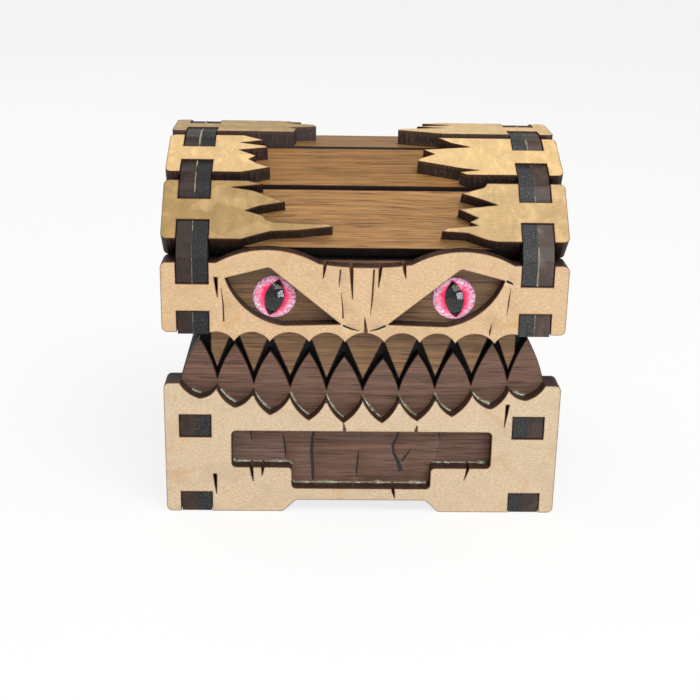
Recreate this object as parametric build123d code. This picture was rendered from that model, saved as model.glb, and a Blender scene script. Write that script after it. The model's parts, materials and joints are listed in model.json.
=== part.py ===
from build123d import *
import math
import os

# A dice storage chest glued up from thin laser-cut sheets: two-layer panels whose dark inner
# sheet carries the teeth of a monster's mouth, two-layer end walls whose lugs come out through
# the panels, an arched lid of five planks with torn facings, and two small butt hinges behind.
# Millimetres. Origin under the middle of the closed chest; X right, Y to the back, Z up.

# ---------------------------------------------------------------- driving dimensions
SHEET = 3.5                # every sheet of plywood
WIDTH = 92.0               # panels and planks, end to end
BASE_HEIGHT = 32.4         # base walls at their ends, and the hinge pins
LID_LOW = 44.8             # lower edge of the lid's front at its ends
SPRING_HEIGHT = 61.2       # the front and back walls end here and the arch begins
PLANK_WIDTH = 15.5         # inner width of a plank of the arch
CORNER_CUT = 0.8           # cut off the outer corners of every panel and plank

END_WALL_X = 42.4          # outer faces of the end walls
LUG_RECESS = 0.3           # lugs end this far inside the facings
LUG_CHAMFER = 1.7          # a lug's corner over the arch is cut off by this much on each side
FIT = 0.2                  # air on each side of a lug in its slot
NOTCH = 5.0                # depth of the open notches at panel and plank edges
SLOT_LOW, SLOT_HIGH = 19.0, 24.6    # closed slots of the base

FOOT_HEIGHT = 3.0          # cut-out between the feet
FOOT_TOP, FOOT_BOTTOM = 15.4, 18.5  # half widths of that cut-out
FLOOR_HEIGHT = 4.0         # underside of the floor board
MOUTH_CORNER_Y = 8.0       # the end walls meet behind this line and gape in front of it
JAW_DROP = 0.5             # the lid's lowest lugs stand this far below its front

# Teeth: the lower row is on the base and the upper row on the lid, both in the inner sheet.
MOUTH = 42.3               # half width of the lower row
LOWER_TEETH = 10
GUM_MIDDLE, GUM_RISE = 28.5, 4.3         # gum between lower teeth, and its rise to the ends
POCKET_MIDDLE, POCKET_RISE = 22.8, 7.4   # bottom of each scallop in the base facing
TIP_MIDDLE, TIP_RISE = 38.0, 6.0         # lower tooth tips
ROOT_STEP = 1.0            # a lower tooth starts this far above the gum
TIP_GAP = 4.6              # upright gap over a lower tooth's tip
ROOT_GAP = 3.0             # upright gap under an upper tooth's tip
UPPER_GUM = 42.6           # points of the lid facing between the upper teeth
ROOT_BOW = 2.3             # how far the lid facing arches over each upper tooth
TOOTH_BOW = 0.45           # bulge of a lower tooth's sides
POCKET_BOW = 0.6           # bulge of a scallop's sides

EYE_X, EYE_Z = 20.5, 52.5
EYE_RADIUS = 5.0
GLASS_HEIGHT = 3.1
GLASS_BANDS = 2            # conical bands that make up the dome, with a flat on top
IRIS_THICKNESS = 0.3

BROW_END, BROW_START = 33.5, 10.5   # a brow rises over each eye between these
BROW_BOW = 3.1
FROWN_BOW = 0.8            # dip of the facing's top between the brows

WINDOW_HALF, WINDOW_TOP = 30.5, 20.6     # stepped window in the base facing
STEP_HALF, STEP_TOP, STEP_LOW = 16.4, 11.4, 6.0
WINDOW_CUT = 0.6           # cut off the window's corners

LINER_LOW, LINER_HIGH = 27.6, 55.0  # board behind the teeth
LINER_GAP = 0.3                     # air between the liner and the tooth boards
LINER_WING = 37.8                   # half width of the liner between the end walls
WING_HIGH = 42.6

HINGE_X = 14.0             # middle of each hinge
HINGE_LENGTH = 14.0
LEAF_THICKNESS = 0.7
LEAF_WIDTH = 7.2           # from the pin's axis to the leaf's edge
KNUCKLE_RADIUS = 1.4
KNUCKLE_STANDOFF = 0.05    # air between the knuckles and the back boards
MIDDLE_KNUCKLE = 4.6
KNUCKLE_GAP = 0.1
PIN_RADIUS = 0.7
PIN_CLEARANCE = 0.05       # radial, in the knuckle that turns
PIN_END = 0.3              # the pin stands out this far at each end
SCREW_SPREAD = 4.4         # from a hinge's middle to each screw, along the pin
SCREW_RISE = 4.6           # from the pin's axis to each screw
SCREW_RADIUS = 0.6
SCREW_DEPTH = 2.6          # into the board
SCREW_END = 0.2            # its end stands this far out of the leaf
LID_FACING_LIFT = 2.4      # facings stop short of the hinge line by these two distances
BASE_FACING_DROP = 3.8

# Planks from front to back: name and lean from upright in degrees.
PLANKS = (
    ("front_lower", 45.0), ("front_upper", 67.5), ("top", 90.0),
    ("back_upper", 112.5), ("back_lower", 135.0),
)

# Torn ends of the facings, from a plank's upper edge down: distance from the chest's middle, and
# height up the plank, of each splinter's tip and each cleft's root. The two planks behind the
# top have the front ones' splinters, turned over and on the other side.
TORN_LOWER_LEFT = (
    (27.0, 15.5), (23.4, 14.6), (26.0, 14.2), (30.5, 13.7), (25.5, 12.8), (18.3, 9.9), (24.3, 8.7),
    (27.2, 7.5), (23.2, 6.2), (22.4, 5.0), (20.8, 4.6), (13.5, 4.2), (8.2, 4.2), (7.4, 3.5),
    (15.0, 2.5), (21.5, 2.1), (25.0, 1.0), (28.0, 0),
)
TORN_LOWER_RIGHT = (
    (28.0, 15.5), (27.4, 14.4), (22.0, 12.7), (26.5, 11.2), (30.2, 9.7), (21.2, 8.5), (25.6, 6.2),
    (23.6, 5.1), (25.4, 4.2), (18.6, 3.5), (17.2, 2.6), (23.0, 2.2), (27.2, 0.5), (29.5, 0),
)
TORN_UPPER_LEFT = (
    (28.5, 15.5), (23.8, 13.5), (29.2, 12.3), (23.4, 11.1), (22.8, 10.4), (29.4, 9.2), (25.4, 6.8),
    (27.0, 5.4), (25.2, 3.8), (22.0, 2.1), (26.0, 0.8), (28.5, 0),
)
TORN_UPPER_RIGHT = (
    (17.8, 15.5), (20.6, 13.4), (25.2, 11.6), (14.0, 10.3), (16.6, 8.4), (12.8, 6.4), (12.4, 5.5),
    (21.8, 2.8), (26.4, 1.9), (22.0, 1.1), (23.5, 0),
)
TORN_TOP_LEFT = (
    (21.0, 15.5), (15.2, 13.6), (19.0, 12.4), (12.0, 10.4), (11.4, 7.6), (18.0, 6.0), (16.2, 4.4),
    (16.8, 0),
)
TORN_TOP_RIGHT = (
    (19.5, 15.5), (15.2, 14.0), (22.5, 12.2), (13.6, 9.8), (20.6, 8.2), (9.4, 6.0), (8.6, 4.4),
    (14.0, 2.2), (19.2, 0),
)
# The same for the upright facings on the back, with heights as shares of a facing's height.
TORN_BACK_LEFT = (
    (27.0, 1.0), (25.6, 0.86), (28.6, 0.7), (24.8, 0.56), (28.2, 0.36), (25.2, 0.22), (26.4, 0),
)
TORN_BACK_RIGHT = (
    (26.0, 1.0), (28.4, 0.8), (25.0, 0.62), (27.8, 0.5), (24.6, 0.3), (28.0, 0.16), (26.8, 0),
)

# Cracks cut through the facings: x, z of the wide end, length, and lean from straight down.
BASE_CRACKS = (
    (-26.0, STEP_TOP, 3.6, 8), (-23.2, STEP_TOP, 2.2, -6), (25.4, STEP_TOP, 3.0, -18),
    (-34.5, 9.0, 4.5, 4), (33.8, 27.0, 5.0, -6), (-4.0, WINDOW_TOP, -2.2, 10),
    (12.5, WINDOW_TOP, -1.6, -12), (7.5, STEP_LOW, 2.4, 14),
)
LID_CRACKS = (
    (-3.2, SPRING_HEIGHT - 0.7, 7.5, 3), (3.4, SPRING_HEIGHT - 0.7, 4.6, -5),
    (8.6, SPRING_HEIGHT - 0.3, 2.8, 10), (-9.0, SPRING_HEIGHT, 3.4, -8),
    (0.4, UPPER_GUM + 2.6, -3.4, 6), (-33.6, SPRING_HEIGHT - 4.0, 4.0, 5),
)
CRACK_WIDTH = 0.8

# ---------------------------------------------------------------- worked out from them
LEANS = tuple(lean for _, lean in PLANKS)
INNER_Y = sum(PLANK_WIDTH * math.sin(math.radians(lean)) for lean in LEANS) / 2
BOARD_Y = INNER_Y + SHEET          # outer face of the inner sheet, front and back
FACING_Y = BOARD_Y + SHEET         # outer face of the facings
END_INNER_X = END_WALL_X - 2 * SHEET
SLOT_IN, SLOT_OUT = END_INNER_X - FIT, END_WALL_X + FIT
LUG_LENGTH = 2 * SHEET - LUG_RECESS
LUG_BOTTOM = LID_LOW - JAW_DROP
PITCH = 2 * MOUTH / LOWER_TEETH
HINGE_Y = BOARD_Y + KNUCKLE_RADIUS + KNUCKLE_STANDOFF
SEATED = (Align.CENTER, Align.CENTER, Align.MIN)


# ---------------------------------------------------------------- drawing helpers
def bowed_edge(start, end, bow):
    """A line, or an arc whose middle stands bow to the right of the way from start to end."""
    if not bow:
        return Line(start, end)
    along_x, along_y = end[0] - start[0], end[1] - start[1]
    length = math.hypot(along_x, along_y)
    middle_x = (start[0] + end[0]) / 2 + bow * along_y / length
    middle_y = (start[1] + end[1]) / 2 - bow * along_x / length
    return ThreePointArc(start, (middle_x, middle_y), end)


def bowed_face(points):
    """The face inside (x, y) or (x, y, bow) points, anticlockwise; bow swells the edge
    that leads to its point."""
    edges = []
    for start, end in zip(points, points[1:] + points[:1]):
        edges.append(bowed_edge(start[:2], end[:2], end[2] if len(end) > 2 else 0))
    return make_face(edges)


def block(left, right, low, high):
    """An upright rectangle between two x and two z values."""
    return Pos((left + right) / 2, (low + high) / 2) * Rectangle(right - left, high - low)


def pair_of_slots(low, high):
    """The two places where the end walls' lugs pass through a panel."""
    return block(SLOT_IN, SLOT_OUT, low, high) + block(-SLOT_OUT, -SLOT_IN, low, high)


def cut_outer_corners(face):
    """Cut off the corners that lie on the two ends of a panel."""
    diamond = Rot(0, 0, 45) * Rectangle(CORNER_CUT * math.sqrt(2), CORNER_CUT * math.sqrt(2))
    for corner in face.vertices():
        if abs(abs(corner.X) - WIDTH / 2) < 0.01:
            face -= Pos(corner.X, corner.Y) * diamond
    return face


def panel(face, y):
    """A sheet that stands across the chest and grows forwards from y."""
    return extrude(Plane.XZ.offset(-y) * face, amount=SHEET)


def foot_cutout():
    """The low arch between the feet of every base wall."""
    return make_face(Polyline(
        (-FOOT_BOTTOM, 0), (FOOT_BOTTOM, 0), (FOOT_TOP, FOOT_HEIGHT), (-FOOT_TOP, FOOT_HEIGHT),
        close=True))


def scatter(number):
    """A fixed but uneven value between 0 and 1 for each whole number."""
    return (number * 0.618034) % 1.0


def cracks(places):
    """Slender wedges, wide at their start, that run down a facing, or up if length is below 0."""
    wedges = None
    for x, z, length, lean in places:
        half = CRACK_WIDTH / 2
        start = math.copysign(0.6, length)
        shift = length * math.tan(math.radians(lean))
        wedge = make_face(Polyline(
            (x - half, z + start), (x + half, z + start),
            (x + shift * 0.55 + half * 0.5, z - length * 0.5), (x + shift, z - length),
            (x + shift * 0.45 - half * 0.5, z - length * 0.5), close=True))
        wedges = wedge if wedges is None else wedges + wedge
    return wedges


# ---------------------------------------------------------------- end walls
def along(lean):
    """Unit step (y, z) along a wall or plank that leans this far from upright."""
    return math.sin(math.radians(lean)), math.cos(math.radians(lean))


def outward(lean):
    """Unit step (y, z) out of the chest, square to a wall or plank."""
    return -math.cos(math.radians(lean)), math.sin(math.radians(lean))


def arch_corners():
    """Inner corners (y, z) of the arch, front to back."""
    corners = [(-INNER_Y, SPRING_HEIGHT)]
    for lean in LEANS:
        step_y, step_z = along(lean)
        y, z = corners[-1]
        corners.append((y + PLANK_WIDTH * step_y, z + PLANK_WIDTH * step_z))
    return corners


def step(point, direction, distance):
    return point[0] + direction[0] * distance, point[1] + direction[1] * distance


def corner_lug(corner, before, after):
    """A lug over one corner of the arch, parallel to the sheets on both of its sides."""
    reach = NOTCH - FIT
    foot_before = step(corner, along(before), -reach)
    foot_after = step(corner, along(after), reach)
    out_before, out_after = outward(before), outward(after)
    middle = (out_before[0] + out_after[0], out_before[1] + out_after[1])
    cosine = out_before[0] * out_after[0] + out_before[1] * out_after[1]
    tip = step(corner, middle, LUG_LENGTH / (1 + cosine))
    return [
        foot_before,
        step(foot_before, out_before, LUG_LENGTH),
        step(tip, along(before), -LUG_CHAMFER),
        step(tip, along(after), LUG_CHAMFER),
        step(foot_after, out_after, LUG_LENGTH),
        foot_after,
    ]


def wall_lug(low, high, side):
    """A lug through the front (side -1) or back (side 1) wall, from its low end up."""
    inner, outer = side * INNER_Y, side * (INNER_Y + LUG_LENGTH)
    return [(inner, low), (outer, low), (outer, high), (inner, high)]


def base_end_face():
    """End wall of the base in (y, z)."""
    front = wall_lug(0, NOTCH - FIT, -1) + wall_lug(SLOT_LOW + FIT, SLOT_HIGH - FIT, -1)
    front += [(-INNER_Y, BASE_HEIGHT)]
    back = [(-y, z) for y, z in reversed(front)]
    return make_face(Polyline(*front[1:], *back[:-1], close=True)) - foot_cutout()


def lid_end_face():
    """End wall of the lid in (y, z): lugs all round the arch, a gaping jaw below its front."""
    front = wall_lug(LUG_BOTTOM, LID_LOW + NOTCH - FIT, -1)[1:]
    corners = arch_corners()
    leans = (0.0,) + LEANS + (180.0,)
    arch = []
    for corner, before, after in zip(corners, leans, leans[1:]):
        arch += corner_lug(corner, before, after)
    back = wall_lug(LID_LOW + FIT, LID_LOW + NOTCH - FIT, 1)[::-1]
    back += [(INNER_Y, BASE_HEIGHT), (MOUTH_CORNER_Y, BASE_HEIGHT)]
    return make_face(Polyline((-INNER_Y, LUG_BOTTOM), *front, *arch, *back, close=True))


def end_walls(name, face):
    """Outer and inner sheets of both end walls, as named solids."""
    solids = {}
    for side, start in (("right", END_INNER_X), ("left", -END_WALL_X)):
        first = extrude(Plane.YZ.offset(start) * face, amount=SHEET)
        second = Pos(SHEET, 0, 0) * first
        inner, outer = (first, second) if side == "right" else (second, first)
        solids[f"{name}_end_inner_{side}"] = inner
        solids[f"{name}_end_outer_{side}"] = outer
    return solids


# ---------------------------------------------------------------- the mouth
def smile(x):
    """0 at the middle of the mouth and 1 at its ends."""
    return (x / MOUTH) ** 2


def gum(x):
    return GUM_MIDDLE + GUM_RISE * smile(x)


def lower_valleys():
    """The x of each gap between lower teeth, left to right, with the two ends."""
    return [-MOUTH + PITCH * number for number in range(LOWER_TEETH + 1)]


def lower_tips():
    """Tips (x, z) of the lower teeth, each a little off its middle and height."""
    tips = []
    for number, left in enumerate(lower_valleys()[:-1]):
        x = left + PITCH / 2 + 0.9 * (scatter(number + 3) - 0.5)
        tips.append((x, TIP_MIDDLE + TIP_RISE * smile(x) + 1.2 * (scatter(number) - 0.5)))
    return tips


def base_top(low_points, end_bow, bow):
    """Points along the base's top edge, right to left: one low or high point for each tooth."""
    valleys = lower_valleys()
    points = [(WIDTH / 2, BASE_HEIGHT), (MOUTH, BASE_HEIGHT)]
    for number in reversed(range(LOWER_TEETH)):
        x, z = low_points[number]
        points.append((x, z, bow))
        last = number == 0
        points.append((valleys[number], BASE_HEIGHT if last else end_bow(valleys[number]), bow))
    return points + [(-WIDTH / 2, BASE_HEIGHT)]


def base_panel_openings():
    """Slots, notches and foot cut-out that every full panel of the base has."""
    return pair_of_slots(-1, NOTCH) + pair_of_slots(SLOT_LOW, SLOT_HIGH) + foot_cutout()


def base_front_tooth_board():
    def valley(x):
        return gum(x) + ROOT_STEP
    feet = [(-WIDTH / 2, 0), (WIDTH / 2, 0)]
    face = bowed_face(feet + base_top(lower_tips(), valley, TOOTH_BOW))
    return panel(cut_outer_corners(face - base_panel_openings()), -INNER_Y)


def stepped_window():
    window = block(-WINDOW_HALF, WINDOW_HALF, STEP_TOP, WINDOW_TOP)
    window += block(-STEP_HALF, STEP_HALF, STEP_LOW, STEP_TOP)
    return chamfer(window.vertices(), WINDOW_CUT)


def base_front_facing():
    pockets = []
    for x, _ in lower_tips():
        pockets.append((x, POCKET_MIDDLE + POCKET_RISE * smile(x)))
    feet = [(-WIDTH / 2, 0), (WIDTH / 2, 0)]
    face = bowed_face(feet + base_top(pockets, gum, -POCKET_BOW))
    face = cut_outer_corners(face - base_panel_openings())
    return panel(face - stepped_window() - cracks(BASE_CRACKS), -BOARD_Y)


def top_notches():
    """Open notches in the lid's front and back where the arch begins."""
    return pair_of_slots(SPRING_HEIGHT - NOTCH, SPRING_HEIGHT + 1)


def lid_front_notches():
    return pair_of_slots(LID_LOW - 1, LID_LOW + NOTCH) + top_notches()


def lid_back_openings():
    return pair_of_slots(LID_LOW, LID_LOW + NOTCH) + top_notches()


def between_lugs(face):
    """The part of a face that lies between the end walls' slots."""
    return face & block(-SLOT_IN, SLOT_IN, 0, SPRING_HEIGHT)


def lid_front_tooth_board():
    tips = lower_tips()
    valleys = lower_valleys()
    teeth = [(tips[0][0], SPRING_HEIGHT - NOTCH), (tips[0][0], tips[0][1] + TIP_GAP)]
    for number in range(1, LOWER_TEETH):
        x = valleys[number]
        teeth.append((x, gum(x) + ROOT_STEP + ROOT_GAP))
        teeth.append((tips[number][0], tips[number][1] + TIP_GAP))
    teeth.append((tips[-1][0], SPRING_HEIGHT - NOTCH))
    board = block(-WIDTH / 2, WIDTH / 2, LID_LOW, SPRING_HEIGHT) - lid_front_notches()
    return panel(cut_outer_corners(board) + between_lugs(bowed_face(teeth)), -INNER_Y)


def eye_opening():
    """The slanted opening over the right eye; its mirror image serves the left one."""
    outer, top, inner, low = (31.5, 57.6), (21.6, 60.2), (5.4, 47.0), (18.6, 46.6)
    return bowed_face([top, inner, low, (*outer, 2.4)])


def lid_front_facing():
    tips = lower_tips()
    gums = [(tips[0][0], LID_LOW + NOTCH), (tips[0][0], UPPER_GUM)]
    gums += [(x, UPPER_GUM, -ROOT_BOW) for x, _ in tips[1:]]
    gums += [(tips[-1][0], LID_LOW + NOTCH)]
    half = WIDTH / 2
    face = bowed_face([
        (-half, LID_LOW), (half, LID_LOW), (half, SPRING_HEIGHT), (BROW_END, SPRING_HEIGHT),
        (BROW_START, SPRING_HEIGHT, BROW_BOW), (-BROW_START, SPRING_HEIGHT, -FROWN_BOW),
        (-BROW_END, SPRING_HEIGHT, BROW_BOW), (-half, SPRING_HEIGHT)])
    face -= block(-SLOT_IN, SLOT_IN, LID_LOW - 1, LID_LOW + 2) + lid_front_notches()
    face = cut_outer_corners(face)
    face += between_lugs(bowed_face(gums))
    eye = eye_opening()
    return panel(face - eye - mirror(eye, Plane.YZ) - cracks(LID_CRACKS), -BOARD_Y)


def lid_front_liner():
    """Dark board behind the teeth, held at its ends between the lid's end walls."""
    face = block(-END_INNER_X, END_INNER_X, WING_HIGH, LINER_HIGH)
    face += block(-LINER_WING, LINER_WING, BASE_HEIGHT + FIT, WING_HIGH)
    face += block(FIT - END_INNER_X, END_INNER_X - FIT, LINER_LOW, BASE_HEIGHT + FIT)
    return panel(face, LINER_GAP + SHEET - INNER_Y)


# ---------------------------------------------------------------- eyes
def on_board(x, height):
    """Place on the front of the lid's tooth board, height above it, facing forwards."""
    return Plane(origin=(x, -BOARD_Y - height, EYE_Z), z_dir=(0, -1, 0)).location


def glass_dome():
    """The glass, seated on the origin: conical bands whose edges lie on a ball."""
    ball = (EYE_RADIUS ** 2 + GLASS_HEIGHT ** 2) / (2 * GLASS_HEIGHT)
    turn = math.asin(EYE_RADIUS / ball) / (GLASS_BANDS + 0.5)
    glass = None
    for band in range(GLASS_BANDS):
        low = turn * (GLASS_BANDS + 0.5 - band)
        high = low - turn
        rise = ball * (math.cos(high) - math.cos(low))
        cone = Cone(ball * math.sin(low), ball * math.sin(high), rise, align=SEATED)
        cone = Pos(0, 0, GLASS_HEIGHT - ball + ball * math.cos(low)) * cone
        glass = cone if glass is None else glass + cone
    return glass


def eye(side):
    """Printed iris disc and the glass dome over it; side is -1 on the left."""
    iris = Cylinder(EYE_RADIUS - 0.1, IRIS_THICKNESS, align=SEATED)
    return on_board(side * EYE_X, 0) * iris, on_board(side * EYE_X, IRIS_THICKNESS) * glass_dome()


# ---------------------------------------------------------------- planks and facings
def plank_plane(number, lift):
    """Work plane on a facet of the arch: x across the chest, y up the facet, z outwards."""
    y, z = arch_corners()[number]
    out_y, out_z = outward(LEANS[number])
    plane = Plane(origin=(0, y, z), x_dir=(1, 0, 0), z_dir=(0, out_y, out_z))
    return plane.offset(lift)


def plank_notches():
    return pair_of_slots(-1, NOTCH) + pair_of_slots(PLANK_WIDTH - NOTCH, PLANK_WIDTH + 1)


def plank(number):
    face = block(-WIDTH / 2, WIDTH / 2, 0, PLANK_WIDTH) - plank_notches()
    return extrude(plank_plane(number, 0) * cut_outer_corners(face), amount=SHEET)


def turned_over(torn):
    """A torn end as it looks when its plank is turned upside down."""
    return [(x, PLANK_WIDTH - height) for x, height in reversed(torn)]


def torn_facing(torn, low, high):
    """A facing from the chest's right end to its torn inner end."""
    return make_face(Polyline((WIDTH / 2, low), (WIDTH / 2, high), *torn, close=True))


def plank_facing(number, torn, side):
    """A torn facing on its plank; the left one is drawn on the right and mirrored."""
    face = cut_outer_corners(torn_facing(torn, 0, PLANK_WIDTH) - plank_notches())
    solid = extrude(plank_plane(number, SHEET) * face, amount=SHEET)
    return mirror(solid, Plane.YZ) if side == "left" else solid


# ---------------------------------------------------------------- back
def screw_places(rise):
    """The x and z of both hinges' screws at one distance above or below the pins."""
    return [(hinge + spread, BASE_HEIGHT + rise)
            for hinge in (-HINGE_X, HINGE_X) for spread in (-SCREW_SPREAD, SCREW_SPREAD)]


def screws(rise):
    """The four screws of one body's leaves, as plain shanks."""
    shank = Cylinder(SCREW_RADIUS, SCREW_DEPTH + LEAF_THICKNESS + SCREW_END, align=SEATED)
    point = BOARD_Y - SCREW_DEPTH
    return [Plane(origin=(x, point, z), z_dir=(0, 1, 0)).location * shank for x, z in screw_places(rise)]


def drill(solid, rise):
    """Cut the screws' own shape out of a leaf or a board."""
    for screw in screws(rise):
        solid -= screw
    return solid


def base_back_board():
    face = block(-WIDTH / 2, WIDTH / 2, 0, BASE_HEIGHT) - base_panel_openings()
    return drill(panel(cut_outer_corners(face), BOARD_Y), -SCREW_RISE)


def lid_back_board():
    face = block(-WIDTH / 2, WIDTH / 2, BASE_HEIGHT, SPRING_HEIGHT) - lid_back_openings()
    return drill(panel(cut_outer_corners(face), BOARD_Y), SCREW_RISE)


def back_facing(low, high, openings, torn, side):
    ends = [(x, low + (high - low) * share) for x, share in torn]
    solid = panel(cut_outer_corners(torn_facing(ends, low, high) - openings), FACING_Y)
    return mirror(solid, Plane.YZ) if side == "left" else solid


def base_floor():
    face = Rectangle(2 * END_INNER_X, 2 * INNER_Y)
    return extrude(Plane.XY.offset(FLOOR_HEIGHT) * face, amount=SHEET)


# ---------------------------------------------------------------- hinges
def knuckle(x_from, x_to, bore):
    tube = Cylinder(KNUCKLE_RADIUS, x_to - x_from) - Cylinder(bore, x_to - x_from + 1)
    return Pos((x_from + x_to) / 2, HINGE_Y, BASE_HEIGHT) * Rot(0, 90, 0) * tube


def leaf_strip(x_from, x_to, low, high):
    """Flat metal against the back boards, between two heights measured from the pin's axis."""
    size = (x_to - x_from, LEAF_THICKNESS, high - low)
    middle = ((x_from + x_to) / 2, BOARD_Y + LEAF_THICKNESS / 2, BASE_HEIGHT + (low + high) / 2)
    return Pos(*middle) * Box(*size)


def hinge_leaf(middle, lifts):
    """One leaf of a hinge: the lid's (lifts) has the middle knuckle, the base's the outer two."""
    half, half_middle = HINGE_LENGTH / 2, MIDDLE_KNUCKLE / 2
    clear = KNUCKLE_RADIUS + KNUCKLE_GAP
    if lifts:
        spans = [(-half_middle, half_middle)]
        bore = PIN_RADIUS + PIN_CLEARANCE
        flat = leaf_strip(middle - half, middle + half, clear, LEAF_WIDTH)
    else:
        inner_end = half_middle + KNUCKLE_GAP
        spans = [(-half, -inner_end), (inner_end, half)]
        bore = PIN_RADIUS
        flat = leaf_strip(middle - half, middle + half, -LEAF_WIDTH, -clear)
    for start, end in spans:
        neck = (0, clear) if lifts else (-clear, 0)
        strip = leaf_strip(middle + start, middle + end, *neck)
        bore_cut = Pos(middle, HINGE_Y, BASE_HEIGHT) * Rot(0, 90, 0) * Cylinder(bore, HINGE_LENGTH + 2)
        flat += (strip - bore_cut) + knuckle(middle + start, middle + end, bore)
    return drill(flat, SCREW_RISE if lifts else -SCREW_RISE)


def hinge_pin(middle):
    pin = Cylinder(PIN_RADIUS, HINGE_LENGTH + 2 * PIN_END)
    return Pos(middle, HINGE_Y, BASE_HEIGHT) * Rot(0, 90, 0) * pin


# ---------------------------------------------------------------- all the pieces
def base_pieces():
    openings = base_panel_openings()
    top = BASE_HEIGHT - BASE_FACING_DROP
    return {
        "base_front_tooth_board": base_front_tooth_board(),
        "base_front_facing": base_front_facing(),
        "base_back_board": base_back_board(),
        "base_back_facing_left": back_facing(0, top, openings, TORN_BACK_LEFT, "left"),
        "base_back_facing_right": back_facing(0, top, openings, TORN_BACK_RIGHT, "right"),
        "base_floor": base_floor(),
        **end_walls("base", base_end_face()),
    }


def lid_pieces():
    low = BASE_HEIGHT + LID_FACING_LIFT
    openings = lid_back_openings()
    pieces = {
        "lid_front_tooth_board": lid_front_tooth_board(),
        "lid_front_facing": lid_front_facing(),
        "lid_front_liner": lid_front_liner(),
        "lid_back_board": lid_back_board(),
        "lid_back_facing_left": back_facing(low, SPRING_HEIGHT, openings, TORN_BACK_RIGHT, "left"),
        "lid_back_facing_right": back_facing(low, SPRING_HEIGHT, openings, TORN_BACK_LEFT, "right"),
        **end_walls("lid", lid_end_face()),
    }
    torn_ends = (
        (TORN_LOWER_LEFT, TORN_LOWER_RIGHT),
        (TORN_UPPER_LEFT, TORN_UPPER_RIGHT),
        (TORN_TOP_LEFT, TORN_TOP_RIGHT),
        (turned_over(TORN_UPPER_RIGHT), turned_over(TORN_UPPER_LEFT)),
        (turned_over(TORN_LOWER_RIGHT), turned_over(TORN_LOWER_LEFT)),
    )
    for number, ((name, _), (left, right)) in enumerate(zip(PLANKS, torn_ends)):
        pieces[f"lid_plank_{name}"] = plank(number)
        pieces[f"lid_facing_{name}_left"] = plank_facing(number, left, "left")
        pieces[f"lid_facing_{name}_right"] = plank_facing(number, right, "right")
    for name, side in (("left", -1), ("right", 1)):
        pieces[f"eye_iris_{name}"], pieces[f"eye_glass_{name}"] = eye(side)
    return pieces


def hinge_pieces():
    pieces = {
        "hinge_screws_base": Compound(children=screws(-SCREW_RISE)),
        "hinge_screws_lid": Compound(children=screws(SCREW_RISE)),
    }
    for name, middle in (("left", -HINGE_X), ("right", HINGE_X)):
        pieces[f"hinge_leaf_base_{name}"] = hinge_leaf(middle, False)
        pieces[f"hinge_leaf_lid_{name}"] = hinge_leaf(middle, True)
        pieces[f"hinge_pin_{name}"] = hinge_pin(middle)
    return pieces


os.makedirs("parts", exist_ok=True)
for piece_name, solid in {**base_pieces(), **lid_pieces(), **hinge_pieces()}.items():
    export_step(solid, f"parts/{piece_name}.step")
height = arch_corners()[2][1] + 2 * SHEET
print(f"depth {2 * FACING_Y:.2f} mm, height {height:.2f} mm, hinge pins at y {HINGE_Y:.2f} mm")
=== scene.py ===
import json
import math

import bmesh
import bpy
import numpy as np
from bpy.props import FloatProperty, FloatVectorProperty, IntProperty, PointerProperty
from mathutils import Matrix, Vector
from mathutils.geometry import convex_hull_2d, delaunay_2d_cdt


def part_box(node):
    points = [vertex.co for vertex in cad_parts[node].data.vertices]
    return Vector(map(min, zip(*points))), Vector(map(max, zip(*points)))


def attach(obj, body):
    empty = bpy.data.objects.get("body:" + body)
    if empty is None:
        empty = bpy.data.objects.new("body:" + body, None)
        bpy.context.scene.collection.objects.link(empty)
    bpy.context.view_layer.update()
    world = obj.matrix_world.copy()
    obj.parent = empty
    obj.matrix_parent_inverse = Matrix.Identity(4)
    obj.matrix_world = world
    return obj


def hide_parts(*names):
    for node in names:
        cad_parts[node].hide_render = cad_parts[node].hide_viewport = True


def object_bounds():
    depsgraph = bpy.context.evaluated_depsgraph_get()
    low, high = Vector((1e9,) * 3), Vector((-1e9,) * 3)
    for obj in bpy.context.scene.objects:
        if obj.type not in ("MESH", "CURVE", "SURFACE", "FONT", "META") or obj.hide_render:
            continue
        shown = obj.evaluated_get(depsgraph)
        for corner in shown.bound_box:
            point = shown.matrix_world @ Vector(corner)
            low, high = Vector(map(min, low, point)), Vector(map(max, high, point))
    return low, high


bl_info = {
    "name": "Dice storage chest",
    "version": (1, 0, 0),
    "blender": (4, 5, 0),
    "location": "View3D > Sidebar > Chest",
    "description": "Dresses a small chest of laser-cut sheets with wood, glue, glass eyes and brass hinges",
    "category": "Object",
}

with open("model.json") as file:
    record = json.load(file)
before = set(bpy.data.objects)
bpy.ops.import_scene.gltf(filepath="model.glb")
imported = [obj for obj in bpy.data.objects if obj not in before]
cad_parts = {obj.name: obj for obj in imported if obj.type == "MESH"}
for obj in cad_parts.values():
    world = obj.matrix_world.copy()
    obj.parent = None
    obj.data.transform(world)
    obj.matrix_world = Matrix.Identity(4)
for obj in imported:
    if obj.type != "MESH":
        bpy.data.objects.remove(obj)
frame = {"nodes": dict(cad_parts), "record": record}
CAD_LOW, CAD_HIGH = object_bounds()
BODY_OF = {node: body for body, nodes in frame["record"]["behaviour"]["bodies"].items() for node in nodes}
MM = 0.001
CLOSE = 0.01 * MM                                         # places nearer than this are the same
X_AXIS, Y_AXIS = Vector((1, 0, 0)), Vector((0, 1, 0))
BOARD_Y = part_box("base_front_tooth_board")[0].y           # front of the walnut boards behind them
LUG_SEAM_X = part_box("lid_end_inner_right")[1].x           # where an end wall's two sheets meet
LUG_WIDTH = 6.5 * MM                                      # no lug's outer end is as long as this
SEAM_CENTRE, SEAM_SUNK = Vector((0, 0.034)), 0.12 * MM    # seams of glue are sunk towards this (y, z)
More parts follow.
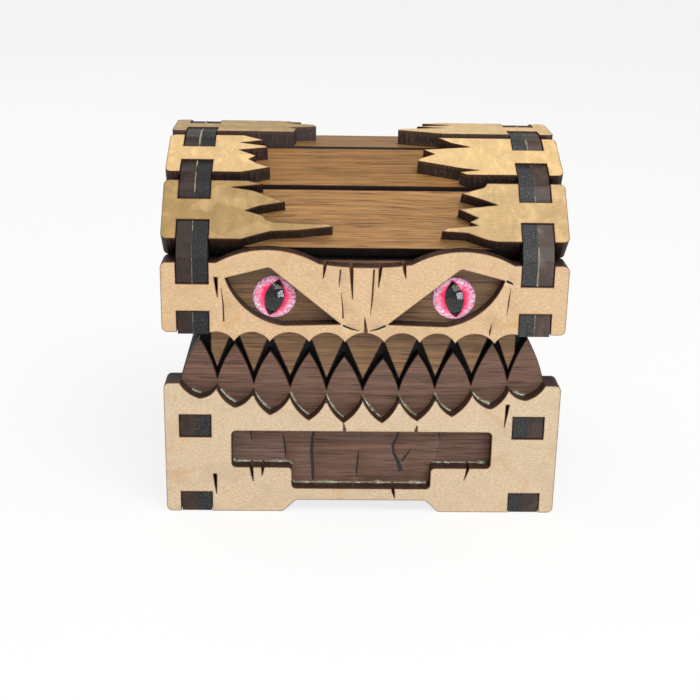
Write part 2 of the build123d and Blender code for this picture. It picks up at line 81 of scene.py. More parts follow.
POCKET_X, LOW_Z, HIGH_Z = 42.2 * MM, 5 * MM, 30 * MM      # limits of the pockets and the window
ROOT_LIFT = Vector((0, -0.05, 0.03)) * MM                 # beads in the pockets stand off their corner
PRINT_BOND = 0.04 * MM                                    # the print reaches into its glass, with no air
EYE_SIDES, DOME_STEPS, HEAD_STEPS = 64, 14, 12
HEAD_PROFILE = ((1.0, 0.0), (1.0, 0.35), (0.88, 0.75), (0.6, 1.0))    # radius and height, as shares
HEAD_SUNK, SCREW_LENGTH, SCREW_RADIUS = 0.2 * MM, 3.5 * MM, 0.6 * MM
SCREW_TURN = 1.4                                          # a screw's slot is turned by up to this
FLOOR_WHITE = 0.8                                         # how far the floor is plain white to the eye


# ---------------------------------------------------------------- settings
def colour(name, description, red, green, blue):
    """A colour setting, given as it looks on a screen, from 0 to 255."""
    return FloatVectorProperty(
        name=name, description=description, subtype="COLOR_GAMMA", size=3, min=0, max=1,
        default=(red / 255, green / 255, blue / 255))


def number(name, description, value, **more):
    return FloatProperty(name=name, description=description, default=value, **more)


def length(name, description, millimetres):
    return number(name, description, millimetres * MM, min=0, unit="LENGTH", precision=5)


class ChestSheets(bpy.types.PropertyGroup):
    facing_base: colour("Base facing", "Pale plywood on the base", 224, 199, 165)
    facing_lid: colour("Lid facing", "Pale plywood on the lid's front", 227, 191, 147)
    facing_arch: colour("Arch facing", "Varnished plywood on the arch", 232, 196, 138)
    # Walnut tones with painted light and shade besides their own tone: planks lighter as lit from above,
    # the base tooth board partly darker as painted shade, the lid tooth board lightened against the facing's
    # shade.
    walnut_plank_lit: colour("Planks", "Walnut on the arch and inside", 162, 118, 68)
    walnut_lid_lightened: colour("Lid tooth board", "Walnut behind the eyes, with the upper teeth", 142, 108, 74)
    walnut_base_shaded: colour("Base tooth board", "Walnut in the window, with the lower teeth", 122, 90, 74)
    brown_sheet: colour("Brown sheet", "Outer sheets of the end walls", 74, 56, 47)
    black_sheet: colour("Black sheet", "Inner sheets of the end walls and the liner", 36, 36, 36)
    scorch_width: length("Scorch width", "How far the laser browned a broad face from its edge", 0.36)
    crack_depth: length("Crack depth", "Depth of the engraved cracks", 0.3)
    corner_round: length("Corner rounding", "Taken off each side of a sheet's cut corner", 0.42)


class ChestEyes(bpy.types.PropertyGroup):
    dome_height: length("Dome height", "Height of the glass over the print", 3.1)
    pink: colour("Iris", "Colour of the iris beside the pupil", 240, 20, 92)
    blush: colour("Iris rim", "Paler colour towards the rim", 255, 188, 214)
    pupil_width: number("Pupil width", "Share of the eye's width", 0.38)
    pupil_height: number("Pupil height", "Share of the eye's height", 0.82)


class ChestGlue(bpy.types.PropertyGroup):
    tint: colour("Glue", "Dried glue squeezed out of the joints", 168, 158, 124)
    radius: length("Bead radius", "Thickest part of a bead of glue", 0.24)
    spacing: length("Bead step", "Distance between the sections of a bead", 0.3)
    seed: IntProperty(name="Seed", description="Changes where the glue swells", default=7)


class ChestHinges(bpy.types.PropertyGroup):
    brass: colour("Brass", "Hinges, pins and screws", 196, 158, 92)
    head_radius: length("Screw head", "Radius of a screw head", 1.05)
    head_height: length("Head height", "How far a screw head stands out of its leaf", 0.45)
    slot_width: length("Screw slot", "Width of the slot in a screw head", 0.3)


class ChestStage(bpy.types.PropertyGroup):
    floor: colour("Floor", "Plain pale floor", 244, 243, 241)
    key_power: number("Key light", "Power of the large lamp above", 3.3)
    window_power: number("Window light", "Power of the lamp at the right, seen only as a sheen", 4.6)
    back_power: number("Back light", "Power of the lamp behind", 0.7)
    daylight: number("Daylight", "Strength of the even light all round", 0.54)
    lens: number("Lens", "Focal length for a 36 mm sensor", 67.67, unit="CAMERA")


# ---------------------------------------------------------------- finishes
def linear(setting):
    """A screen colour as the linear colour that a shader takes."""
    return tuple(c / 12.92 if c <= 0.04045 else ((c + 0.055) / 1.055) ** 2.4 for c in setting) + (1,)


class Nodes:
    """A node tree being made."""

    def __init__(self, tree):
        self.nodes, self.links = tree.nodes, tree.links

    def feed(self, socket, value):
        """Link what comes out of another node, or set a plain value."""
        if isinstance(value, bpy.types.NodeSocket):
            self.links.new(value, socket)
        else:
            socket.default_value = value

    def add(self, kind, *first_inputs, settings=None, **named_inputs):
        """Add a node, and feed its first inputs in order and others by name."""
        node = self.nodes.new(kind)
        for name, value in (settings or {}).items():
            setattr(node, name, value)
        for socket, value in zip(node.inputs, first_inputs):
            self.feed(socket, value)
        for name, value in named_inputs.items():
            self.feed(node.inputs[name.replace("_", " ")], value)
        return node

    def maths(self, operation, first, second=0.0):
        return self.add("ShaderNodeMath", first, second, settings={"operation": operation}).outputs[0]


class Finish(Nodes):
    """A material being made, with one main tone. Most methods add a node and give back what
    comes out of it."""

    def __init__(self, name, tone=(0, 0, 0)):
        self.material = bpy.data.materials.new(name)
        self.material.use_nodes = True
        super().__init__(self.material.node_tree)
        self.shader = self.nodes["Principled BSDF"]
        self.tone = linear(tone)

    def map(self, name):
        return self.add("ShaderNodeUVMap", settings={"uv_map": name}).outputs["UV"]

    def sheet_place(self, stretch_along, stretch_across):
        """Millimetres along and across the grain, times the two stretches."""
        return self.stretch(self.map("sheet"), (stretch_along, stretch_across, 1))

    def solid_place(self, scale):
        """The place in the whole chest, in metres, times a scale."""
        return self.stretch(self.add("ShaderNodeTexCoord").outputs["Object"], (scale, scale, scale))

    def stretch(self, vector, scale):
        return self.add("ShaderNodeMapping", Vector=vector, Scale=scale).outputs["Vector"]

    def noise(self, vector, scale=1.0, detail=2.0, roughness=0.5, distortion=0.0):
        node = self.add(
            "ShaderNodeTexNoise", Vector=vector, Scale=scale, Detail=detail, Roughness=roughness,
            Distortion=distortion)
        return node.outputs["Fac"]

    def span(self, value, low, high, to_low=0.0, to_high=1.0):
        """Spread the values between low and high smoothly over a new range."""
        node = self.add(
            "ShaderNodeMapRange", settings={"interpolation_type": "SMOOTHSTEP"},
            Value=value, From_Min=low, From_Max=high, To_Min=to_low, To_Max=to_high)
        return node.outputs["Result"]

    def vectors(self, operation, *inputs):
        node = self.add("ShaderNodeVectorMath", *inputs, settings={"operation": operation})
        return node.outputs["Vector"]

    def mix(self, factor, first, second, blend="MIX"):
        settings = {"data_type": "RGBA", "blend_type": blend}
        node = self.add("ShaderNodeMix", settings=settings, Factor=factor, A=first, B=second)
        return node.outputs["Result"]

    def toned(self, colour):
        """A colour as it is, or the main tone made lighter or darker by a factor."""
        if isinstance(colour, float):
            return tuple(min(1, c * colour) for c in self.tone[:3]) + (1,)
        return colour

    def over(self, base, *layers):
        """Lay colours over a first one, each by up to its share as a value goes from low to high."""
        for value, low, high, share, colour in layers:
            share = self.span(value, low, high, 0.0, share)
            base = self.mix(share, self.toned(base), self.toned(colour))
        return base

    def bend(self, place, wave, reach):
        """Push a place across the grain by a 0 to 1 wave, so that straight lines run wavy."""
        push = self.add("ShaderNodeCombineXYZ", Y=self.maths("MULTIPLY", wave, reach))
        return self.vectors("ADD", place, push.outputs["Vector"])

    def parts(self, vector):
        return self.add("ShaderNodeSeparateXYZ", vector).outputs

    def attribute(self, name):
        return self.add("ShaderNodeAttribute", settings={"attribute_name": name}).outputs["Fac"]

    def relief(self, height, depth):
        """Bump of that many metres from a 0 to 1 height."""
        bump = self.add("ShaderNodeBump", Distance=depth, Strength=1.0, Height=height)
        self.feed(self.shader.inputs["Normal"], bump.outputs["Normal"])

    def done(self, base, roughness, **plain):
        self.feed(self.shader.inputs["Base Color"], base)
        self.feed(self.shader.inputs["Roughness"], roughness)
        for name, value in plain.items():
            self.shader.inputs[name.replace("_", " ")].default_value = value
        return self.material


def scorched(finish, base):
    """Brown a broad face towards its outline, where the laser cut it."""
    edge = finish.attribute("scorch")
    patchy = finish.noise(finish.sheet_place(1.1, 1.1), detail=3)
    warm = finish.maths("MULTIPLY", finish.span(edge, 0.15, 1.0), finish.span(patchy, 0.2, 0.75, 0.45, 1.0))
    base = finish.mix(warm, base, linear((0.62, 0.38, 0.2)), "MULTIPLY")
    return finish.mix(finish.span(edge, 0.62, 1.0), base, linear((0.23, 0.14, 0.1)))


def deepened_by_tone_and_shade(finish, base, deep, patches=0.0):
    """Darken a whole sheet by its own share of a deeper tone: partly so that no two are quite alike,
    partly as painted shade on sheets away from the light, with patches of stain where they are asked for."""
    share = finish.attribute("deepening_and_shade")
    if patches:
        stain = finish.noise(finish.sheet_place(0.13, 0.2), detail=3, roughness=0.55, distortion=0.8)
        share = finish.maths("MULTIPLY", share, finish.span(stain, 0.34, 0.62, 1 - patches, 1 + patches))
    return finish.mix(share, base, deep + (1,), "MULTIPLY")


def pale_plywood(name, tone, depth=0.2, gloss=0.55, sheen=0.0):
    """Birch-like face veneer: short fine fibres, soft figure and a few mineral stains. The sheen
    is the share of broad soft ripples, painted sheen in lighter and darker bands, that varnish brings out."""
    f = Finish(name, tone)
    fibre = f.noise(f.sheet_place(1.1, 3.9), detail=6, roughness=0.8, distortion=0.2)
    fleck = f.noise(f.sheet_place(2.9, 3.9), detail=4, roughness=0.8, distortion=0.3)
    figure = f.noise(f.sheet_place(0.11, 0.2), detail=4, roughness=0.6, distortion=0.8)
    stain = f.noise(f.sheet_place(0.07, 0.05), detail=4, roughness=0.6, distortion=1.9)
    ripple = f.noise(f.sheet_place(0.42, 0.2), detail=2, roughness=0.5, distortion=0.5)
    # The last two layers, the ripples, are painted sheen: lighter and darker soft bands.
    base = f.over(
        1 - depth * 1.3, (fibre, 0.36, 0.64, 1.0, 1 + depth * 0.9),
        (fleck, 0.42, 0.62, 0.6, 1 - depth * 1.3), (fleck, 0.45, 0.3, 0.5, 1 + depth * 1.2),
        (figure, 0.46, 0.66, 0.5, 1 - depth * 1.2), (stain, 0.57, 0.7, 0.5, linear((0.82, 0.62, 0.4))),
        (ripple, 0.5, 0.3, sheen, 1.25), (ripple, 0.5, 0.7, sheen, 0.74))
    base = scorched(f, deepened_by_tone_and_shade(f, base, (0.5, 0.46, 0.34), patches=sheen * 0.5))
    f.relief(fibre, 0.00003 * (1 - sheen))
    return f.done(base, f.span(fibre, 0.2, 0.8, gloss - 0.08, gloss + 0.1), Specular_IOR_Level=0.35)


def walnut(name, tone, gloss=0.45):
    """Walnut veneer: dark streaks along the grain and short open pores."""
    f = Finish(name, tone)
    wave = f.noise(f.sheet_place(0.03, 0.05), detail=1)
    lay = f.bend(f.sheet_place(1, 1), wave, 2.4)
    streak = f.noise(f.stretch(lay, (0.022, 1.0, 1)), detail=5, roughness=0.66)
    lines = f.noise(f.stretch(lay, (0.05, 2.6, 1)), detail=3, roughness=0.6)
    band = f.noise(f.stretch(lay, (0.012, 0.25, 1)), detail=2)
    pores = f.noise(f.stretch(lay, (0.11, 5.5, 1)), detail=2, roughness=0.4)
    fine = f.noise(f.stretch(lay, (0.14, 6.5, 1)), detail=3)
    base = f.over(
        0.62, (streak, 0.38, 0.62, 1.0, 1.22), (band, 0.38, 0.66, 0.5, 0.74),
        (fine, 0.35, 0.7, 0.35, 1.5), (lines, 0.55, 0.64, 0.7, 0.36), (pores, 0.58, 0.67, 0.7, 0.2))
    base = scorched(f, deepened_by_tone_and_shade(f, base, (0.7, 0.66, 0.6)))
    f.relief(f.maths("SUBTRACT", streak, f.span(pores, 0.58, 0.68)), 0.00004)
    return f.done(base, f.span(streak, 0.3, 0.7, gloss + 0.1, gloss - 0.05), Specular_IOR_Level=0.25)


def charred_edge(name, light=(0.43, 0.29, 0.2), dark=(0.16, 0.11, 0.09), rim_share=0.75):
    """The laser's cut: soot with streaks through the thickness and lighter plies showing."""
    f = Finish(name, light)
    streak = f.noise(f.sheet_place(2.6, 0.3), detail=4, roughness=0.7)
    depth = f.parts(f.sheet_place(1, 1))["Y"]
    ply = f.noise(f.sheet_place(0.05, 1.3), detail=2)
    grain = f.noise(f.sheet_place(2.4, 2.4), detail=3)
    base = f.over(linear(dark), (streak, 0.46, 0.74, 0.85, 1.0), (ply, 0.5, 0.7, 0.35, 0.7))
    rim = f.maths("MULTIPLY", f.span(depth, 2.5, 3.3), f.span(grain, 0.42, 0.62, 0.0, rim_share))
    base = f.mix(rim, base, linear((0.46, 0.27, 0.15)))
    f.relief(streak, 0.00006)
    return f.done(base, f.span(streak, 0.3, 0.7, 0.5, 0.75), Specular_IOR_Level=0.3)


def brown_sheet(name, tone, haze_share):
    """Brown board; its cut ends in the slots are smooth and mottled, with patches of pale grey haze."""
    f = Finish(name, tone)
    mottle = f.noise(f.solid_place(420), detail=5, roughness=0.65)
    haze = f.noise(f.solid_place(150), detail=3, distortion=0.7)
    scratch = f.noise(f.stretch(f.solid_place(1), (2600, 240, 240)), detail=2)
    base = f.over(
        0.62, (mottle, 0.3, 0.72, 1.0, 1.35), (haze, 0.58, 0.8, haze_share, linear((0.56, 0.5, 0.5))),
        (scratch, 0.64, 0.74, 0.3, 2.0))
    f.relief(mottle, 0.00003)
    base = deepened_by_tone_and_shade(f, base, (0.46, 0.42, 0.4))
    return f.done(base, f.span(mottle, 0.3, 0.7, 0.38, 0.58), Specular_IOR_Level=0.3)


def black_sheet(name, tone, speckle):
    """Black board: matt, with fine grey specks where it was cut."""
    f = Finish(name, tone)
    specks = f.noise(f.solid_place(3300), detail=3, roughness=0.7)
    cloud = f.noise(f.solid_place(300), detail=3)
    dust = f.noise(f.solid_place(1500), detail=1)
    base = f.over(
        0.6, (cloud, 0.3, 0.7, 1.0, 1.5), (specks, 0.5, 0.66, speckle, linear((0.47, 0.47, 0.44))),
        (dust, 0.72, 0.76, 0.5, linear((0.6, 0.62, 0.62))))
    f.relief(specks, 0.00004)
    base = deepened_by_tone_and_shade(f, base, (0.4, 0.4, 0.4))
    return f.done(base, f.span(cloud, 0.3, 0.7, 0.5, 0.7), Specular_IOR_Level=0.3)


def brass(name, tone):
    f = Finish(name, tone)
    rub = f.noise(f.solid_place(700), detail=4)
    tarnish = f.noise(f.solid_place(160), detail=3, distortion=0.6)
    base = f.over(1.0, (tarnish, 0.4, 0.75, 0.6, 0.55))
    f.relief(rub, 0.00001)
    return f.done(base, f.span(rub, 0.3, 0.7, 0.24, 0.42), Metallic=1.0)


def dried_glue(name, tone):
    f = Finish(name, tone)
    cloud = f.noise(f.solid_place(600), detail=2)
    base = f.over(0.6, (cloud, 0.3, 0.7, 1.0, 1.15))
    f.relief(cloud, 0.00002)
    return f.done(base, f.span(cloud, 0.3, 0.7, 0.2, 0.4), Coat_Weight=0.4, Transmission_Weight=0.35)


def clear_glass(name):
    f = Finish(name)
    wave = f.noise(f.solid_place(260), detail=1)
    f.relief(wave, 0.000002)
    return f.done((1, 1, 1, 1), f.span(wave, 0.3, 0.7, 0.01, 0.03), Transmission_Weight=1.0, IOR=1.42)


def printed_iris(name, settings):
    """Radial fibres from a hot inner ring to a pale flecked rim, round an upright slit."""
    f = Finish(name)
    place = f.map("eye")
    split = f.parts(place)
    across, up = split["X"], split["Y"]
    squares = [f.maths("MULTIPLY", way, way) for way in (across, up)]
    radius = f.maths("SQRT", f.maths("ADD", *squares))
    outwards = f.vectors("NORMALIZE", place)
    ray_place = f.vectors("MULTIPLY_ADD", outwards, (6, 6, 6), f.stretch(place, (1.1, 1.1, 1.1)))
    rays = f.noise(ray_place, scale=1.3, detail=4, roughness=0.65, distortion=0.5)
    flecks = f.noise(place, scale=4.6, detail=4, roughness=0.6, distortion=1.2)
    spots = f.noise(place, scale=11, detail=1)
    cloud = f.noise(place, scale=9, detail=4)
    outward = f.maths("ADD", radius, f.maths("MULTIPLY", f.maths("SUBTRACT", rays, 0.5), 1.1))
    base = f.over(linear(settings.pink), (outward, 0.42, 0.9, 1.0, linear(settings.blush)))
    for pattern, low, high, clear, full, share, tint in (
            (flecks, 0.5, 0.6, 0.5, 0.75, 1.0, (1.0, 0.93, 0.97)),
            (rays, 0.52, 0.62, 0.97, 0.7, 0.75, (0.93, 0.13, 0.4)),
            (spots, 0.56, 0.62, 0.74, 0.88, 0.85, (0.3, 0.1, 0.34))):
        marks = f.maths("MULTIPLY", f.span(pattern, low, high), f.span(radius, clear, full, 0.0, share))
        base = f.mix(marks, base, linear(tint))
    reach = f.maths("DIVIDE", up, settings.pupil_height)
    narrowing = f.maths("SUBTRACT", 1.0, f.maths("MULTIPLY", reach, reach))
    half = f.maths("MULTIPLY", narrowing, settings.pupil_width)
    inside = f.maths("SUBTRACT", half, f.maths("ABSOLUTE", across))
    slit = f.over(linear((0.02, 0.02, 0.03)), (cloud, 0.45, 0.75, 1.0, linear((0.2, 0.2, 0.18))))
    base = f.over(
        base, (radius, 0.93, 1.0, 0.7, linear((0.6, 0.24, 0.4))),
        (inside, -0.09, 0.0, 0.85, linear((0.86, 0.03, 0.26))), (inside, -0.012, 0.02, 1.0, slit))
    return f.done(base, 0.4, Specular_IOR_Level=0.1)


def engraved_line(name, tone):
    f = Finish(name, tone)
    soot = f.noise(f.solid_place(1900), detail=3)
    f.relief(soot, 0.00004)
    return f.done(f.over(0.6, (soot, 0.35, 0.7, 1.0, 1.5)), 0.8)


# ---------------------------------------------------------------- sheets
def merged_copy(node):
    """The CAD node's mesh as joined flat faces instead of loose triangles."""
    bm = bmesh.new()
    bm.from_mesh(frame["nodes"][node].data)
    bmesh.ops.remove_doubles(bm, verts=bm.verts, dist=2e-6)
    bmesh.ops.dissolve_limit(bm, angle_limit=math.radians(0.6), verts=bm.verts, edges=bm.edges)
    bm.normal_update()
    return bm


def broad_direction(bm):
    """The way that a sheet's outer broad face looks, away from the middle of the chest."""
    areas = []
    for face in bm.faces:
        for entry in areas:
            if abs(entry[0].dot(face.normal)) > 0.9995:
                entry[1] += face.calc_area()
                break
        else:
            areas.append([face.normal.copy(), face.calc_area()])
    normal = max(areas, key=lambda entry: entry[1])[0]
    middle = sum((v.co for v in bm.verts), Vector()) / len(bm.verts)
    away = middle - (CAD_LOW + CAD_HIGH) / 2
    return normal if normal.dot(away) > 0 else -normal


def is_cut(face, normal):
    return abs(face.normal.dot(normal)) < 0.5


def round_corners(bm, normal, offset):
    """Round the sheet's corners that turn by about 45 degrees."""
    corners = []
    for edge in bm.edges:
        if len(edge.link_faces) == 2 and all(is_cut(face, normal) for face in edge.link_faces):
            if math.radians(36) < edge.calc_face_angle(0) < math.radians(56):
                corners.append(edge)
    if corners:
        bmesh.ops.bevel(
            bm, geom=corners, offset=offset, segments=2, profile=0.5, affect="EDGES", clamp_overlap=True)
        bm.normal_update()


def outline_steps(broad):
    """The directed sides of a group of faces, each with the faces on its left, loop by loop."""
    inside = set(broad)
    after = {}
    for face in broad:
        for corner in face.loops:
            if not any(other is not face and other in inside for other in corner.edge.link_faces):
                after[corner.vert] = corner.link_loop_next.vert
    loops = []
    while after:
        vertex = next(iter(after))
        loop = []
        while vertex in after:
            loop.append(vertex)
            vertex = after.pop(vertex)
        loops.append(loop)
    return loops


def clearance(points, starts, ends):
    """How far each flat point is from the nearest of the flat lines from starts to ends."""
    ways = ends - starts
    lengths = np.maximum((ways ** 2).sum(axis=1), 1e-12)
    offsets = points[:, None] - starts[None]
    share = np.clip((offsets * ways[None]).sum(axis=2) / lengths, 0, 1)
    return np.sqrt(((offsets - share[..., None] * ways[None]) ** 2).sum(axis=2)).min(axis=1)


def within(points, starts, ends):
    """True for each flat point that the closed lines from starts to ends go round."""
    x, y = points[:, :1], points[:, 1:]
    rising = (starts[:, 1] > y) != (ends[:, 1] > y)
    height = np.where(ends[:, 1] == starts[:, 1], 1.0, ends[:, 1] - starts[:, 1])
    crossing = starts[:, 0] + (y - starts[:, 1]) * (ends[:, 0] - starts[:, 0]) / height
    return ((rising & (x < crossing)).sum(axis=1) % 2) == 1


# Cracks engraved in the fronts, as broken lines of (x, z, width) in millimetres.
WINDOW_CRACKS = (
    ((-26.4, 20.9, 0.3), (-26.2, 18.4, 0.35), (-25.9, 16.6, 0.12)),
    ((-18.6, 18.6, 0.15), (-18.2, 16.0, 0.45), (-18.0, 13.8, 0.45), (-17.9, 12.2, 0.12)),
    ((-11.0, 20.9, 0.35), (-11.6, 17.6, 0.7), (-11.8, 14.0, 0.85), (-11.5, 9.4, 0.75), (-11.4, 6.6, 0.6)),
    ((-0.4, 20.9, 0.45), (-0.2, 18.8, 0.15)),
    ((-0.6, 14.6, 0.12), (-0.8, 12.0, 0.5), (-1.0, 9.2, 0.4), (-1.0, 7.4, 0.15)),
    ((9.0, 20.9, 0.6), (8.6, 18.4, 0.5), (7.5, 15.9, 0.75), (7.7, 13.8, 0.6), (8.8, 11.6, 0.9),
     (9.6, 9.0, 1.1)),
    ((9.7, 11.6, 0.7), (10.9, 13.4, 0.5), (11.9, 14.9, 0.15)),
    ((18.0, 20.9, 0.3), (18.4, 18.6, 0.3), (18.6, 17.2, 0.1)),
)
FACING_CRACKS = (
    ((-5.6, 59.9, 0.4), (-5.8, 57.4, 0.35), (-5.9, 55.8, 0.12)),
    ((-5.4, 54.6, 0.12), (-5.0, 51.0, 0.3), (-4.9, 48.4, 0.4)),
    ((1.9, 60.0, 0.5), (1.8, 57.0, 0.45), (1.6, 52.6, 0.4), (1.3, 49.2, 0.12)),
    ((32.9, 55.9, 0.12), (32.6, 52.6, 0.35), (32.3, 49.4, 0.12)),
    ((-32.4, 55.4, 0.12), (-32.0, 51.4, 0.35), (-31.9, 47.4, 0.4)),
    ((29.0, 47.4, 0.12), (28.7, 45.6, 0.5), (28.6, 44.6, 0.2)),
)
EYE_CREASES = (
    ((4.9, 46.75, 0.5), (3.0, 45.9, 0.45), (1.2, 45.4, 0.2)),
    ((-4.9, 46.75, 0.5), (-3.0, 45.9, 0.45), (-1.2, 45.5, 0.2)),
    ((31.8, 57.6, 0.6), (32.7, 57.2, 0.6), (33.4, 56.8, 0.3)),
)


def scorch_outline(bm, normal, width, cracks, depth):
    """Fill both broad faces again with a narrow rim along every cut, marked on its outer side,
    and engrave the outer one with V-shaped cracks."""
    scorch = bm.verts.layers.float.new("scorch")
    bm.faces.layers.int.new("crack")
    for side in (1, -1):
        facing = normal * side
        level = max(v.co.dot(facing) for v in bm.verts)
        broad = [face for face in bm.faces
                 if face.normal.dot(facing) > 0.999
                 and level - face.calc_center_median().dot(facing) < CLOSE]
        fill_broad_face(bm, facing, broad, scorch, width, cracks if side > 0 else (), depth)
    bm.normal_update()


def crack_shape(points, corner, right, up):
    """A crack's closed outline and its middle line, both flat."""
    spots = [Vector((x * MM, corner.y, z * MM)) - corner for x, z, _ in points]
    middle = [np.array((spot.dot(right), spot.dot(up))) / MM for spot in spots]
    left, far_side = [], []
    for number, (spot, (_, _, width)) in enumerate(zip(middle, points)):
        way = middle[min(number + 1, len(middle) - 1)] - middle[max(number - 1, 0)]
        square = np.array((-way[1], way[0])) / np.hypot(*way) * width / 2
        left.append(spot + square)
        far_side.append(spot - square)
    middle[0] = middle[0] + (middle[1] - middle[0]) * 0.15
    middle[-1] = middle[-1] + (middle[-2] - middle[-1]) * 0.15
    return np.array(left + far_side[::-1]), np.array(middle)


def fill_broad_face(bm, facing, broad, scorch, width, cracks, depth):
    loops = outline_steps(broad)
    right = facing.orthogonal().normalized()
    up = facing.cross(right)
    corner = loops[0][0].co.copy()
    outline = [vertex for loop in loops for vertex in loop]
    flat = np.array([((v.co - corner).dot(right) / MM, (v.co - corner).dot(up) / MM) for v in outline])
    edges, first = [], 0
    for loop in loops:
        edges += [(first + n, first + (n + 1) % len(loop)) for n in range(len(loop))]
        first += len(loop)
    starts, ends = flat[[a for a, _ in edges]], flat[[b for _, b in edges]]
    gap = width / MM
    inner = inner_points(starts, ends, gap)
    inner = inner[within(inner, starts, ends) & (clearance(inner, starts, ends) > gap * RIM_KEPT)]
    rims, places, sunk = [], list(flat), set()
    for kind, points in cracks:
        rim, middle = crack_shape(points, corner, right, up)
        edges += [(len(places) + n, len(places) + (n + 1) % len(rim)) for n in range(len(rim))]
        places += list(rim)
        edges += [(len(places) + n, len(places) + n + 1) for n in range(len(middle) - 1)]
        sunk |= set(range(len(places), len(places) + len(middle)))
        places += list(middle)
        rims.append((kind, rim, np.roll(rim, -1, axis=0)))
        inner = inner[~within(inner, rim, rims[-1][2])]
    places = [Vector(place) for place in places + list(inner)]
    spots, _, triangles, sources, _, _ = delaunay_2d_cdt(places, edges, [], 1, 1e-5, True)
    centres = np.array([[sum(spots[n][axis] for n in tri) / 3 for axis in (0, 1)] for tri in triangles])
    wanted = within(centres, starts, ends)
    kinds = np.zeros(len(triangles), int)
    for kind, rim, rim_ends in rims:
        kinds[within(centres, rim, rim_ends)] = kind
    bmesh.ops.delete(bm, geom=broad, context="FACES_ONLY")
    corners = []
    for spot, source in zip(spots, sources):
        known = [n for n in source if n < len(outline)]
        if known:
            corners.append(outline[known[0]])
        else:
            sink = depth if sunk & set(source) else 0.0
            corners.append(bm.verts.new(corner + (right * spot[0] + up * spot[1]) * MM - facing * sink))
    crack_layer = bm.faces.layers.int["crack"]
    for triangle, good, kind in zip(triangles, wanted, kinds):
        if good:
            bm.faces.new([corners[n] for n in triangle])[crack_layer] = int(kind)
    for vertex in outline:
        vertex[scorch] = 1.0
    bmesh.ops.delete(bm, geom=[e for e in bm.edges if not e.link_faces], context="EDGES")
    bmesh.ops.delete(bm, geom=[v for v in bm.verts if not v.link_faces], context="VERTS")


RIM_STEP = 0.8                                            # between points along a side, in millimetres
RIM_KEPT = 0.93                                           # points nearer the cut than this share are left out
FAN = [math.tau * n / 12 for n in range(12)]


def inner_points(starts, ends, gap):
    """Points set in from the outline: over its corners and every so often along its sides."""
    ways = ends - starts
    lengths = np.maximum(np.sqrt((ways ** 2).sum(axis=1, keepdims=True)), 1e-9)
    inward = np.stack((-ways[:, 1], ways[:, 0]), axis=1) / lengths
    before = {tuple(end.round(4)): n for n, end in enumerate(ends)}
    points = []
    for start, way, long, square in zip(starts, ways, lengths[:, 0], inward):
        other = inward[before[tuple(start.round(4))]]
        mitre = (other + square) / max(1 + other @ square, 0.25)
        points.append(start + mitre * gap)
        if other @ square < 0.8:
            points += [start + np.array((math.cos(turn), math.sin(turn))) * gap for turn in FAN]
        count = int(long / RIM_STEP)
        points += [start + way * (n + 0.5) / count + square * gap for n in range(count)]
    return np.array(points)


def lay_grain(bm, normal, grain, shift):
    """Map each broad face by millimetres along and across the grain, and each cut face by
    millimetres along the outline and up through the thickness."""
    uv = bm.loops.layers.uv.new("sheet")
    crack = bm.faces.layers.int["crack"]
    across = normal.cross(grain).normalized()
    back = min(v.co.dot(normal) for v in bm.verts)
    for face in bm.faces:
        if is_cut(face, normal) and not face[crack]:
            along = face.normal.cross(normal).normalized()
            for loop in face.loops:
                co = loop.vert.co
                loop[uv].uv = (co.dot(along) / MM + shift, (co.dot(normal) - back) / MM)
            face.material_index = 1
        else:
            for loop in face.loops:
                co = loop.vert.co
                loop[uv].uv = (co.dot(grain) / MM + shift, co.dot(across) / MM + shift * 0.7)
            face.material_index = face[crack]


def mesh_of(bm, name):
    mesh = bpy.data.meshes.new(name)
    bm.to_mesh(mesh)
    bm.free()
    return mesh


def in_scene(name, data):
    """A new object in the scene."""
    thing = bpy.data.objects.new(name, data)
    bpy.context.scene.collection.objects.link(thing)
    return thing


def finish_piece(bm, name, body, materials, replaced=(), crease=25):
    """Turn a bmesh into a finished piece that rides on a body."""
    mesh = mesh_of(bm, name)
    for material in materials:
        mesh.materials.append(material)
    mesh.shade_smooth()
    mesh.set_sharp_from_angle(angle=math.radians(crease))
    return place_piece(mesh, name, body, replaced)


def skin(bm, rings):
    """Join rings of points with four-sided faces."""
    for lower, upper in zip(rings, rings[1:]):
        for n in range(len(lower)):
            after = (n + 1) % len(lower)
            bm.faces.new((lower[n], lower[after], upper[after], upper[n]))


def place_piece(mesh, name, body, replaced=()):
    piece = in_scene(name, mesh)
    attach(piece, body)
    if replaced:
        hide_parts(*replaced)
    return piece


# How much deeper in tone some sheets are than their neighbours, from 0 to 1: partly their own tone,
# partly painted shade, most of it on the left-hand sheets, away from the light at the right.
TONE_AND_SHADE_DEEPENING = {
    "lid_facing_front_lower_left": 1.0, "lid_facing_front_lower_right": 0.5,
    "lid_facing_front_upper_left": 0.1, "lid_facing_top_left": 0.95, "lid_facing_top_right": 0.15,
    "lid_plank_front_upper": 0.35, "lid_plank_top": 0.55,
    "lid_end_outer_left": 1.0, "lid_end_inner_left": 1.0, "base_end_outer_left": 0.7,
    "base_end_outer_right": 0.5, "base_end_inner_left": 0.5, "base_end_inner_right": 0.5,
    "lid_front_liner": 0.8,
}


